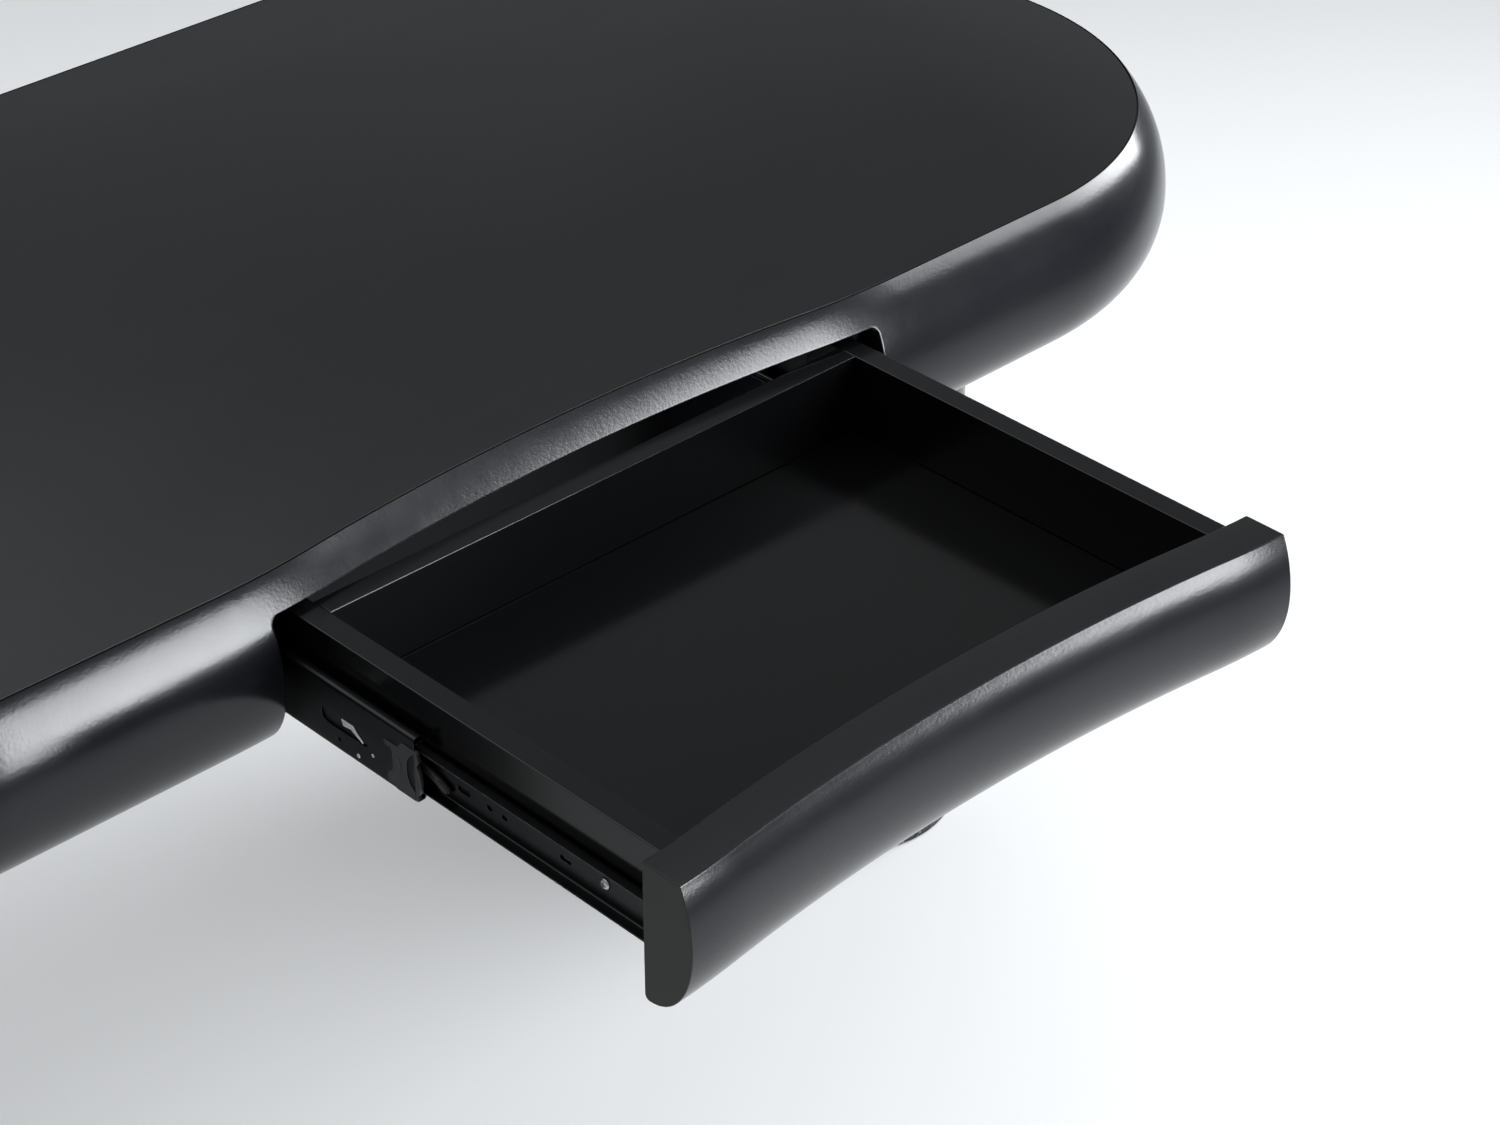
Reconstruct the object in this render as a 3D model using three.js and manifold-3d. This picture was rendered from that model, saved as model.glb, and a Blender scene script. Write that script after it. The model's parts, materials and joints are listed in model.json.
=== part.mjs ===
// Computer desk with a pull-out keyboard drawer on full-extension ball slides.
// Units are millimetres, +Z is up, +X runs to the user's right and +Y runs away from the user.
// Every part is first placed in desk coordinates: x = 0 on the centre line, y = 0 on the foremost line
// of the top's edge, z = 0 on the floor. The last lines centre the whole outline on the origin.
// The drawer is drawn fully pulled out, and its closed position is drawerTravel further back.

import * as THREE from 'three';
import { mergeVertices } from 'three/addons/utils/BufferGeometryUtils.js';
import Module from 'manifold-3d';

const wasm = await Module();
wasm.setup();

// ---------------------------------------------------------------- driving dimensions

const gap = 0.3;                        // clearance between pieces that touch in the real desk

const deskWidth = 1400;
const deskDepth = 700;
const deskHeight = 740;
const topThickness = 21;
const cornerRadius = 260;               // of the nose line, seen from above

const recessAngle = THREE.MathUtils.degToRad(7.5);
const recessRadius = 1550;              // concave middle of the front edge
const blendRadius = 620;                // convex shoulder on each side of it

const noseDrop = 65.6;                  // height of the top face above the foremost line
const upperRadius = 103;                // rounding above the nose
const lowerDrop = 52;                   // the quarter ellipse below the nose
const edgeThickness = 40;
const edgeBottom = deskHeight - noseDrop - lowerDrop;

const drawerTravel = 350;
const openingHalf = 253;                // half width of the notch that the drawer front fills
const openingCorner = 6;
const frontHalf = 250.7;
const frontTopGap = 2;
const frontThickness = 39;
const frontBackRadius = 4;

const sideThickness = 16;
const sideOuterX = 235.5;
const sideLength = 352;
const sideTop = deskHeight - 25.6;
const sideHeight = 71;
const drawerFloorTop = sideTop - 56.4;
const drawerFloorThickness = 4;
const grooveDepth = 6;
const drawerBackY = 348;                // front face of the drawer's back, drawer closed
const drawerBackThickness = 16;
const sideFrontY = 30;                  // sides and floor start inside the front and are cut to its back

const slideCentre = sideTop - 46;
const slideDepth = 12.7;                // room between the drawer's side and the rail
const slideLength = 350;
const slideSheet = 1;
const slideFrontY = 43;                 // front end of the drawer member, drawer closed
const cabinetMemberHalf = 26.6;         // half heights of the members' centre lines and cages
const middleFoldOut = 22.35;
const middleFoldIn = 17.9;
const drawerMemberHalf = 14;
const outerCageHalf = 24.7;
const innerCageHalf = 16.2;
const cageSheet = 0.4;
const slideScrewY = 86;
const slideScrewRadius = 2;
const slideScrewDepth = 12;
const leverY = 255;                     // pivot of the release lever, drawer closed

const railThickness = 18;
const railHeight = 70;
const railFrontY = 43;
const railRearY = 454;

const legX = 566;
const legRadius = 92;
const legFrontY = 341;                  // centre of the leg's front half round
const legRearY = 500;
const legWall = 18;
const glideHeight = 5;
const glideRadius = 22;
const plinthHeight = 25;
const plinthOverhang = 1.5;
const capHeight = 12;
const coreWall = 2;                     // steel tube inside each leg that carries the top
const corePlate = 8;
const modestyY = 470;
const modestyThickness = 18;
const modestyBottom = 330;
const bracketLeg = 30;
const bracketSheet = 2;

// ---------------------------------------------------------------- materials

const finishes = {
  surface: new THREE.MeshStandardMaterial({ color: 0x1c1e1f, roughness: 0.55, metalness: 0 }),
  lacquer: new THREE.MeshStandardMaterial({ color: 0x0d0f12, roughness: 0.32, metalness: 0 }),
  board: new THREE.MeshStandardMaterial({ color: 0x0f1011, roughness: 0.5, metalness: 0 }),
  blackSteel: new THREE.MeshStandardMaterial({ color: 0x141516, roughness: 0.4, metalness: 0.8 }),
  zinc: new THREE.MeshStandardMaterial({ color: 0x9a9ca0, roughness: 0.35, metalness: 1 }),
  blackPlastic: new THREE.MeshStandardMaterial({ color: 0x101112, roughness: 0.5, metalness: 0 }),
  plinth: new THREE.MeshStandardMaterial({ color: 0x1a1b1c, roughness: 0.45, metalness: 0 }),
};

// ---------------------------------------------------------------- helpers

function toSolid(geometry) {
  const bare = geometry.index ? geometry.toNonIndexed() : geometry.clone();
  bare.deleteAttribute('normal');
  bare.deleteAttribute('uv');
  const merged = mergeVertices(bare, 1e-3);
  return new wasm.Manifold(new wasm.Mesh({
    numProp: 3,
    vertProperties: new Float32Array(merged.attributes.position.array),
    triVerts: new Uint32Array(merged.index.array),
  }));
}

function toGeometry(solid) {
  const mesh = solid.getMesh();
  const geometry = new THREE.BufferGeometry();
  geometry.setAttribute('position', new THREE.BufferAttribute(mesh.vertProperties, 3));
  geometry.setIndex(new THREE.BufferAttribute(mesh.triVerts, 1));
  return geometry;
}

function cut(geometry, ...tools) {
  let solid = toSolid(geometry);
  for (const tool of tools) solid = solid.subtract(toSolid(tool));
  return toGeometry(solid);
}

function keep(geometry, tool) {
  return toGeometry(toSolid(geometry).intersect(toSolid(tool)));
}

function join(geometry, ...others) {
  let solid = toSolid(geometry);
  for (const other of others) solid = solid.add(toSolid(other));
  return toGeometry(solid);
}

function block(x0, x1, y0, y1, z0, z1) {
  const geometry = new THREE.BoxGeometry(x1 - x0, y1 - y0, z1 - z0);
  return geometry.translate((x0 + x1) / 2, (y0 + y1) / 2, (z0 + z1) / 2);
}

function upright(shape, z0, z1, curveSegments = 8) {
  const geometry = new THREE.ExtrudeGeometry(shape, { depth: z1 - z0, bevelEnabled: false, curveSegments });
  return geometry.translate(0, 0, z0);
}

// A section drawn in x and z, extruded along y.
function bar(shape, y0, y1, curveSegments = 4) {
  const geometry = new THREE.ExtrudeGeometry(shape, { depth: y1 - y0, bevelEnabled: false, curveSegments });
  return geometry.rotateX(Math.PI / 2).translate(0, y1, 0);
}

function rodAlongX(radius, x0, x1, y, z, segments = 16) {
  const geometry = new THREE.CylinderGeometry(radius, radius, Math.abs(x1 - x0), segments);
  return geometry.rotateZ(Math.PI / 2).translate((x0 + x1) / 2, y, z);
}

function mirrored(geometry) {
  const flipped = geometry.index ? geometry.toNonIndexed() : geometry.clone();
  flipped.scale(-1, 1, 1);
  const position = flipped.attributes.position;
  for (let i = 0; i < position.count; i += 3) {
    const [x, y, z] = [position.getX(i), position.getY(i), position.getZ(i)];
    position.setXYZ(i, position.getX(i + 1), position.getY(i + 1), position.getZ(i + 1));
    position.setXYZ(i + 1, x, y, z);
  }
  return flipped;
}

const desk = new THREE.Group();

function addPart(name, geometry, finish, parent = desk) {
  const mesh = new THREE.Mesh(geometry, finishes[finish].clone());
  mesh.name = name;
  parent.add(mesh);
}

// Adds the right-hand piece as drawn and its mirror image on the left.
function addPair(name, geometry, finish, parent = desk) {
  addPart(`${name}_right`, geometry, finish, parent);
  addPart(`${name}_left`, mirrored(geometry), finish, parent);
}

// ---------------------------------------------------------------- plan of the top

const recessDepth = (recessRadius + blendRadius) * (1 - Math.cos(recessAngle));
const shoulderX = (recessRadius + blendRadius) * Math.sin(recessAngle);
const cornerX = deskWidth / 2 - cornerRadius;
const rearCornerY = deskDepth - cornerRadius;
const quarter = Math.PI / 2;

// The front edge from its left corner to its right one, moved inwards by inset.
function drawFront(path, inset) {
  path.moveTo(-cornerX, inset);
  path.lineTo(-shoulderX, inset);
  path.absarc(-shoulderX, blendRadius, blendRadius - inset, -quarter, -quarter + recessAngle, false);
  const recessY = recessDepth - recessRadius;
  path.absarc(0, recessY, recessRadius + inset, quarter + recessAngle, quarter - recessAngle, true);
  path.absarc(shoulderX, blendRadius, blendRadius - inset, -quarter - recessAngle, -quarter, false);
  path.lineTo(cornerX, inset);
  return path;
}

function topOutline(inset) {
  const shape = drawFront(new THREE.Shape(), inset);
  const radius = cornerRadius - inset;
  shape.absarc(cornerX, cornerRadius, radius, -quarter, 0, false);
  shape.absarc(cornerX, rearCornerY, radius, 0, quarter, false);
  shape.absarc(-cornerX, rearCornerY, radius, quarter, 2 * quarter, false);
  shape.absarc(-cornerX, cornerRadius, radius, 2 * quarter, 3 * quarter, false);
  shape.closePath();
  return shape;
}

// A flat path at the height of the top face, for a section that is swept along the edge.
class EdgeRun extends THREE.Curve {
  constructor(path) {
    super();
    this.path = path;
  }

  getPoint(t) {
    const point = this.path.getPoint(t);
    return new THREE.Vector3(point.x, point.y, deskHeight);
  }
}

// Sections are drawn with x downwards from the top face and y inwards from the nose line.
function sweep(section, path, steps) {
  return new THREE.ExtrudeGeometry(section, {
    extrudePath: new EdgeRun(path),
    steps,
    curveSegments: 5,
    bevelEnabled: false,
  });
}

// ---------------------------------------------------------------- sections of the edge

const upperInset = (drop) => upperRadius - Math.sqrt(upperRadius ** 2 - (noseDrop - drop) ** 2);
const topInset = upperInset(0);

// The rounded outside, from a depth below the top face, over the nose and down to the underside.
function drawNose(shape, startDrop, reach) {
  const startAngle = Math.asin((noseDrop - startDrop) / upperRadius);
  shape.absarc(noseDrop, upperRadius, upperRadius, -quarter - startAngle, -quarter, false);
  shape.absellipse(noseDrop, reach, lowerDrop, reach, -quarter, 0, false);
}

// Full moulding with a rebate at the top that carries the desk's flat panel.
function edgeSection() {
  const shape = new THREE.Shape();
  drawNose(shape, 0, edgeThickness);
  shape.lineTo(topThickness, edgeThickness);
  shape.lineTo(topThickness, topInset);
  shape.closePath();
  return shape;
}

function drawerFrontSection(grow = 0) {
  const shape = new THREE.Shape();
  const back = frontThickness + grow;
  drawNose(shape, topThickness + frontTopGap, frontThickness - frontBackRadius);
  const bottom = noseDrop + lowerDrop;
  shape.absarc(bottom - frontBackRadius, back - frontBackRadius, frontBackRadius, 0, quarter, false);
  shape.lineTo(topThickness + frontTopGap, back);
  shape.closePath();
  return shape;
}

// ---------------------------------------------------------------- top panel and moulded edge

function buildTop() {
  const underTop = deskHeight - topThickness;
  addPart('top_panel', upright(topOutline(topInset + gap), underTop + gap, deskHeight), 'surface');

  const frontRun = sweep(edgeSection(), drawFront(new THREE.Path(), 0), 44);
  const low = edgeBottom - 5;
  const high = deskHeight + 5;
  const rightOfNotch = block(openingHalf + gap / 2, cornerX - gap / 2, -50, 100, low, high);
  addPair('edge_front', keep(frontRun, rightOfNotch), 'lacquer');

  const notch = new THREE.Shape();
  notch.moveTo(-openingHalf, low);
  notch.lineTo(openingHalf, low);
  const [filletX, filletZ] = [openingHalf - openingCorner, underTop - openingCorner];
  notch.absarc(filletX, filletZ, openingCorner, 0, quarter, false);
  notch.absarc(-filletX, filletZ, openingCorner, quarter, 2 * quarter, false);
  notch.closePath();
  const overNotch = block(-openingHalf + gap / 2, openingHalf - gap / 2, -50, 100, low, high);
  addPart('edge_lintel', cut(keep(frontRun, overNotch), bar(notch, -60, 110)), 'lacquer');

  const trim = gap / 2 / cornerRadius;
  const frontCorner = new THREE.Path();
  frontCorner.absarc(cornerX, cornerRadius, cornerRadius, -quarter + trim, -trim, false);
  const rearCorner = new THREE.Path();
  rearCorner.absarc(cornerX, rearCornerY, cornerRadius, trim, quarter - trim, false);
  addPair('edge_front_corner', sweep(edgeSection(), frontCorner, 16), 'lacquer');
  addPair('edge_rear_corner', sweep(edgeSection(), rearCorner, 16), 'lacquer');

  const end = new THREE.Path();
  end.moveTo(deskWidth / 2, cornerRadius + gap / 2);
  end.lineTo(deskWidth / 2, rearCornerY - gap / 2);
  addPair('edge_end', sweep(edgeSection(), end, 1), 'lacquer');

  const rear = new THREE.Path();
  rear.moveTo(cornerX - gap / 2, deskDepth);
  rear.lineTo(gap / 2 - cornerX, deskDepth);
  addPart('edge_rear', sweep(edgeSection(), rear, 1), 'lacquer');
}

// ---------------------------------------------------------------- frame under the top

function buildFrame() {
  const top = deskHeight - topThickness;
  const bottom = top - railHeight;
  const inner = sideOuterX + slideDepth + gap;
  addPair('runner_rail', block(inner, inner + railThickness, railFrontY, railRearY, bottom, top), 'board');
  const rearRail = block(gap - inner, inner - gap, railRearY - railThickness, railRearY, bottom + 20, top);
  addPart('bay_rear_rail', rearRail, 'board');
}

// ---------------------------------------------------------------- drawer, drawn closed

function buildDrawer(drawer) {
  const run = drawFront(new THREE.Path(), 0);
  const width = block(-frontHalf, frontHalf, -50, 120, edgeBottom - 5, deskHeight);
  addPart('drawer_front', keep(sweep(drawerFrontSection(), run, 44), width), 'lacquer', drawer);

  const frontSpace = sweep(drawerFrontSection(gap), run, 44);
  const bottom = sideTop - sideHeight;
  const innerX = sideOuterX - sideThickness;
  const floorBottom = drawerFloorTop - drawerFloorThickness;
  const rearY = drawerBackY + drawerBackThickness;
  const groove = block(innerX - 1, innerX + grooveDepth, 0, rearY, floorBottom - gap, drawerFloorTop + gap);
  const pilotEnd = sideOuterX - slideScrewDepth;
  const pilot = rodAlongX(slideScrewRadius + gap, pilotEnd, sideOuterX + 1, slideScrewY, slideCentre, 12);
  const board = block(innerX, sideOuterX, sideFrontY, sideFrontY + 12 + sideLength, bottom, sideTop);
  addPair('drawer_side', cut(board, frontSpace, groove, pilot), 'board', drawer);

  const floorHalf = innerX + grooveDepth - gap;
  const floor = block(-floorHalf, floorHalf, sideFrontY, rearY - gap, floorBottom, drawerFloorTop);
  addPart('drawer_bottom', cut(floor, frontSpace), 'board', drawer);
  const back = block(gap - innerX, innerX - gap, drawerBackY, rearY, drawerFloorTop + gap, sideTop);
  addPart('drawer_back', back, 'board', drawer);

  const shank = rodAlongX(slideScrewRadius, pilotEnd + 1, sideOuterX + 2, slideScrewY, slideCentre, 12);
  const head = rodAlongX(4.4, sideOuterX + 1.8, sideOuterX + 4, slideScrewY, slideCentre, 16);
  addPair('slide_screw', join(head, shank), 'zinc', drawer);
}

// ---------------------------------------------------------------- ball slides

// Sheet metal bent along a line: points are its centre line in x and z, and each bend is rounded.
function bentSheet(points, thickness, bendRadius, bendSteps = 3) {
  const line = [];
  points.forEach(([x, z], i) => {
    const here = new THREE.Vector2(x, z);
    if (i === 0 || i === points.length - 1) {
      line.push(here);
      return;
    }
    const before = new THREE.Vector2(...points[i - 1]).sub(here);
    const after = new THREE.Vector2(...points[i + 1]).sub(here);
    const reach = Math.min(bendRadius, before.length() * 0.49, after.length() * 0.49);
    const start = here.clone().addScaledVector(before.normalize(), reach);
    const end = here.clone().addScaledVector(after.normalize(), reach);
    const bend = new THREE.QuadraticBezierCurve(start, here, end);
    line.push(...bend.getPoints(bendSteps));
  });
  const offset = (side) => line.map((point, i) => {
    const back = line[Math.max(i - 1, 0)];
    const next = line[Math.min(i + 1, line.length - 1)];
    const direction = next.clone().sub(back).normalize();
    const normal = new THREE.Vector2(-direction.y, direction.x);
    return point.clone().addScaledVector(normal, side * thickness / 2);
  });
  return new THREE.Shape([...offset(-1), ...offset(1).reverse()]);
}

// A channel: a web at depth web, with flanges at half height that reach to depth lip.
function channel(web, lip, half, thickness, bend) {
  const z = half - thickness / 2;
  return bentSheet([[lip, z], [web, z], [web, -z], [lip, -z]], thickness, bend);
}

function slidePart(section, y0, y1) {
  return bar(section, y0, y1).translate(sideOuterX, 0, slideCentre);
}

// Depths are measured outwards from the drawer's side, and y is that of the closed drawer.
function buildMembers(parents) {
  const cabinet = channel(12.2, 4.2, cabinetMemberHalf, slideSheet, 2.4);
  addPair('slide_cabinet_member', slidePart(cabinet, 60, 60 + slideLength), 'blackSteel');

  // The middle member's flanges are folded back on themselves, so that both rows of balls run on them.
  const [web, lip, fold] = [10.2, 8.6, 3.6];
  const middleLine = [
    [lip, middleFoldIn], [fold, middleFoldIn], [fold, middleFoldOut], [web, middleFoldOut],
    [web, -middleFoldOut], [fold, -middleFoldOut], [fold, -middleFoldIn], [lip, -middleFoldIn],
  ];
  const slot = new THREE.Shape();
  slot.absarc(0, 14, 5, 0, Math.PI, false);
  slot.absarc(0, -14, 5, Math.PI, 2 * Math.PI, false);
  slot.closePath();
  const slotCut = new THREE.ExtrudeGeometry(slot, { depth: 8, bevelEnabled: false, curveSegments: 4 });
  slotCut.rotateY(quarter).rotateX(quarter * 2).translate(sideOuterX + 7.5, 130, slideCentre);
  const middle = slidePart(bentSheet(middleLine, slideSheet, 2.2), 65, 405);
  addPair('slide_middle_member', cut(middle, slotCut), 'blackSteel', parents.middle);

  const [holeStart, holeEnd] = [sideOuterX - 1, sideOuterX + 3];
  const hole = rodAlongX(slideScrewRadius + gap, holeStart, holeEnd, slideScrewY, slideCentre, 12);
  const inner = channel(0.8, 8.6, drawerMemberHalf, slideSheet, 2.4);
  const member = slidePart(inner, slideFrontY, slideFrontY + slideLength);
  addPair('slide_drawer_member', cut(member, hole), 'blackSteel', parents.drawer);
}

// The cages hold the balls between the members and follow them at half their speed.
function buildCages(parents) {
  const outer = channel(11.2, 4.6, outerCageHalf, cageSheet, 0.8);
  addPair('slide_outer_cage', slidePart(outer, 172.5, 292.5), 'zinc', parents.outerCage);
  const inner = channel(9.2, 3, innerCageHalf, cageSheet, 0.8);
  addPair('slide_inner_cage', slidePart(inner, 187.5, 287.5), 'zinc', parents.innerCage);
}

// Plastic clip that wraps the front end of the middle member's web.
function buildEndClip(parent) {
  const corners = [
    [9, 94], [9, 62.8], [11.4, 62.8], [11.4, 92], [11, 92], [11, 64.7], [9.4, 64.7], [9.4, 94],
  ];
  const clip = new THREE.Shape(corners.map(([depth, y]) => new THREE.Vector2(depth, y)));
  const body = upright(clip, -16, 6).translate(sideOuterX, 0, slideCentre);
  addPair('slide_end_clip', body, 'blackPlastic', parent);
}

// Release lever: a round boss that turns beside the drawer member's web, with a finger to the front.
function buildLever(parent) {
  const lever = new THREE.Shape();
  lever.absarc(0, 0, 5.5, -0.6 * Math.PI, 0.6 * Math.PI, false);
  lever.lineTo(-12, 3);
  lever.lineTo(-34, -3);
  lever.lineTo(-38, -7);
  lever.lineTo(-33, -9);
  lever.lineTo(-12, -3);
  lever.closePath();
  const body = new THREE.ExtrudeGeometry(lever, { depth: 4, bevelEnabled: false, curveSegments: 8 });
  body.rotateZ(quarter).rotateY(quarter).translate(sideOuterX + 2, leverY, slideCentre);
  addPair('slide_release_lever', body, 'blackPlastic', parent);
}

// ---------------------------------------------------------------- legs and modesty panel

function stadium(radius) {
  const shape = new THREE.Shape();
  shape.absarc(legX, legFrontY, radius, 2 * quarter, 4 * quarter, false);
  shape.absarc(legX, legRearY, radius, 0, 2 * quarter, false);
  shape.closePath();
  return shape;
}

function halfRound(centreY, startAngle) {
  const shape = new THREE.Shape();
  shape.absarc(legX, centreY, legRadius, startAngle, startAngle + Math.PI, false);
  shape.absarc(legX, centreY, legRadius - legWall, startAngle + Math.PI, startAngle, true);
  shape.closePath();
  return shape;
}

function rectangle(x0, x1, y0, y1) {
  return new THREE.Shape([[x0, y0], [x1, y0], [x1, y1], [x0, y1]].map(([x, y]) => new THREE.Vector2(x, y)));
}

function buildLegs() {
  const plinthTop = glideHeight + gap + plinthHeight;
  const shellBottom = plinthTop + gap;
  const capTop = edgeBottom - gap;
  const shellTop = capTop - capHeight - gap;
  addPair('leg_front_stave', upright(halfRound(legFrontY, 2 * quarter), shellBottom, shellTop), 'lacquer');
  addPair('leg_rear_stave', upright(halfRound(legRearY, 0), shellBottom, shellTop), 'lacquer');
  const [frontY, rearY] = [legFrontY + gap, legRearY - gap];
  const faceX = legX + legRadius;
  const backX = legX - legRadius;
  const outer = block(faceX - legWall, faceX, frontY, rearY, shellBottom, shellTop);
  addPair('leg_outer_panel', outer, 'lacquer');
  const inner = block(backX, backX + legWall, frontY, rearY, shellBottom, shellTop);
  addPair('leg_inner_panel', inner, 'lacquer');
  const plinth = upright(stadium(legRadius + plinthOverhang), glideHeight + gap, plinthTop);
  addPair('leg_plinth', plinth, 'plinth');

  const [coreX0, coreX1, coreY0, coreY1] = [legX - 50, legX + 30, legFrontY, legFrontY + 150];
  const hole = rectangle(coreX0 - gap, coreX1 + gap, coreY0 - gap, coreY1 + gap);
  const cap = stadium(legRadius);
  cap.holes.push(hole);
  addPair('leg_cap', upright(cap, shellTop + gap, capTop), 'lacquer');
  const tube = rectangle(coreX0, coreX1, coreY0, coreY1);
  tube.holes.push(rectangle(coreX0 + coreWall, coreX1 - coreWall, coreY0 + coreWall, coreY1 - coreWall));
  const plateTop = deskHeight - topThickness;
  addPair('leg_core', upright(tube, shellBottom, plateTop - corePlate - gap), 'blackSteel');
  const plate = block(coreX0 - 15, coreX1 + 10, coreY0 - 20, coreY1 + 15, plateTop - corePlate, plateTop);
  addPair('leg_mount_plate', plate, 'blackSteel');

  for (const [place, y] of [['front', legFrontY - 45], ['rear', legRearY + 45]]) {
    const glide = new THREE.CylinderGeometry(glideRadius, glideRadius - 2, glideHeight, 24);
    glide.rotateX(quarter).translate(legX, y, glideHeight / 2);
    addPair(`glide_${place}`, glide, 'blackPlastic');
  }

  const half = backX - gap;
  const modestyRear = modestyY + modestyThickness;
  addPart('modesty_panel', block(-half, half, modestyY, modestyRear, modestyBottom, plateTop), 'lacquer');
  const bracketX = backX - gap;
  const bracketY = modestyY - gap;
  const angle = new THREE.Shape();
  angle.moveTo(bracketX, bracketY);
  angle.lineTo(bracketX - bracketLeg, bracketY);
  angle.lineTo(bracketX - bracketLeg, bracketY - bracketSheet);
  angle.lineTo(bracketX - bracketSheet, bracketY - bracketSheet);
  angle.lineTo(bracketX - bracketSheet, bracketY - bracketLeg);
  angle.lineTo(bracketX, bracketY - bracketLeg);
  angle.closePath();
  addPair('modesty_bracket', upright(angle, 400, 480), 'blackSteel');
}

// ---------------------------------------------------------------- assembly

// Groups that follow the drawer: each is drawn closed and moved forward by its share of the travel.
function movingGroup(share) {
  const group = new THREE.Group();
  group.position.y = -share * drawerTravel;
  desk.add(group);
  return group;
}

const moving = {
  drawer: movingGroup(1),
  middle: movingGroup(0.5),
  outerCage: movingGroup(0.25),
  innerCage: movingGroup(0.75),
};

buildTop();
buildFrame();
buildDrawer(moving.drawer);
buildMembers(moving);
buildCages(moving);
buildEndClip(moving.middle);
buildLever(moving.drawer);
buildLegs();

// The origin is under the middle of the whole outline, drawer pulled out.
const bounds = new THREE.Box3().setFromObject(desk);
desk.position.y = -(bounds.min.y + bounds.max.y) / 2;
desk.updateMatrixWorld(true);

export default desk;
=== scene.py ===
# Looks of the computer desk with a pull-out keyboard drawer.
# Shapes are drawn in desk coordinates in millimetres: x = 0 on the centre line, y = 0 on the foremost
# line of the moulded edge, z = 0 on the floor. Pieces that slide are drawn with the drawer closed and
# then shifted forward by their share of its travel, because the rest pose has the drawer pulled out.

import json
import math

import bmesh
import bpy
from mathutils import Matrix, Vector

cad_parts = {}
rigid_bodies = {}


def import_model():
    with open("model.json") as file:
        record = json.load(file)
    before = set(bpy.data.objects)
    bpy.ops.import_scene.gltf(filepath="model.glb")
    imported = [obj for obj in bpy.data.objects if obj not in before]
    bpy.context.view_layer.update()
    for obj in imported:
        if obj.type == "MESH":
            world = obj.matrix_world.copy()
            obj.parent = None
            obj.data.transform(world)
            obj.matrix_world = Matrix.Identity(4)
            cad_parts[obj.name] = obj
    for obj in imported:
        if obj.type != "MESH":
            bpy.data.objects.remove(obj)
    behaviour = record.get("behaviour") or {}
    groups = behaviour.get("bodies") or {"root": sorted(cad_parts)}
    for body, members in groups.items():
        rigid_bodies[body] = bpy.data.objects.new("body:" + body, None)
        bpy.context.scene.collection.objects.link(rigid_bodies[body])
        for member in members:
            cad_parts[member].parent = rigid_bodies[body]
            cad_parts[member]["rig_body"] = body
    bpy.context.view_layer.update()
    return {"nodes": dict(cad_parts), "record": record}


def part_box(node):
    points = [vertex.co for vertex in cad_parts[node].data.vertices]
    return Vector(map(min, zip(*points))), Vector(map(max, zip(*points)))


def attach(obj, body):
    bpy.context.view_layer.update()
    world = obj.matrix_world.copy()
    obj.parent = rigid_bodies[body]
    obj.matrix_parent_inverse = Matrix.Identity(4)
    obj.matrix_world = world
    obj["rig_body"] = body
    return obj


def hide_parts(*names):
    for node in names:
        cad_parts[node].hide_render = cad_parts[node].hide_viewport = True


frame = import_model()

MM = 0.001

# ------------------------------------------------------------------ dimensions, in millimetres

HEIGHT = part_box("top_panel")[1].z / MM
DEPTH = 700.0
Y_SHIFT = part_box("edge_rear")[1].y / MM - DEPTH
HALF_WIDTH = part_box("edge_end_right")[1].x / MM

CORNER_R = 260.0
RECESS_ANGLE = math.radians(7.5)
RECESS_R = 1550.0
BLEND_R = 620.0
RECESS_DEPTH = (RECESS_R + BLEND_R) * (1 - math.cos(RECESS_ANGLE))
SHOULDER_X = (RECESS_R + BLEND_R) * math.sin(RECESS_ANGLE)
CORNER_X = HALF_WIDTH - CORNER_R
REAR_CORNER_Y = DEPTH - CORNER_R

NOSE_DROP = 65.6
UPPER_R = 103.0
LOWER_DROP = 52.0
EDGE_THICKNESS = 40.0
EDGE_BOTTOM_DROP = NOSE_DROP + LOWER_DROP
TOP_THICKNESS = 21.0
TOP_INSET = UPPER_R - math.sqrt(UPPER_R ** 2 - NOSE_DROP ** 2)

NOTCH_HALF = 253.0
NOTCH_FILLET = 6.0
TRAVEL = 350.0
FRONT_HALF = 250.7
FRONT_TOP_DROP = 23.0
FRONT_THICKNESS = 39.0
FRONT_BACK_R = 4.0

SIDE_OUTER = 235.5
SIDE_THICKNESS = 16.0
SIDE_TOP = HEIGHT - 25.6
SIDE_BOTTOM = SIDE_TOP - 71.0
FLOOR_TOP = SIDE_TOP - 56.4
BACK_Y = 348.0
DRAWER_BACK_THICKNESS = 16.0
FLOOR_THICKNESS = 4.0
SIDE_END_Y = 394.0
BOARD_GAP = 0.3
SLIDE_Z = SIDE_TOP - 46.0
SHEET = 1.0
SCREW_Y = 86.0
LEVER_Y = 255.0

LEG_X = 566.0
LEG_R = 92.0
LEG_FRONT_Y = 341.0
LEG_REAR_Y = 500.0
LEG_WALL = 18.0
PLINTH_PROUD = 1.5
PLINTH_LIFT = 1.0

QUARTER_STEPS = 48

SHARE = {"desk": 0.0, "drawer": 1.0, "middle": 0.5, "outer_cage": 0.25, "inner_cage": 0.75,
         "release_lever": 1.0}


# ------------------------------------------------------------------ mesh helpers

def shift_of(body):
    stem = body.replace("_left", "").replace("_right", "")
    return -SHARE[stem] * TRAVEL


def to_frame(point, body):
    x, y, z = point
    return Vector((x * MM, (y + shift_of(body) + Y_SHIFT) * MM, z * MM))


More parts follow.
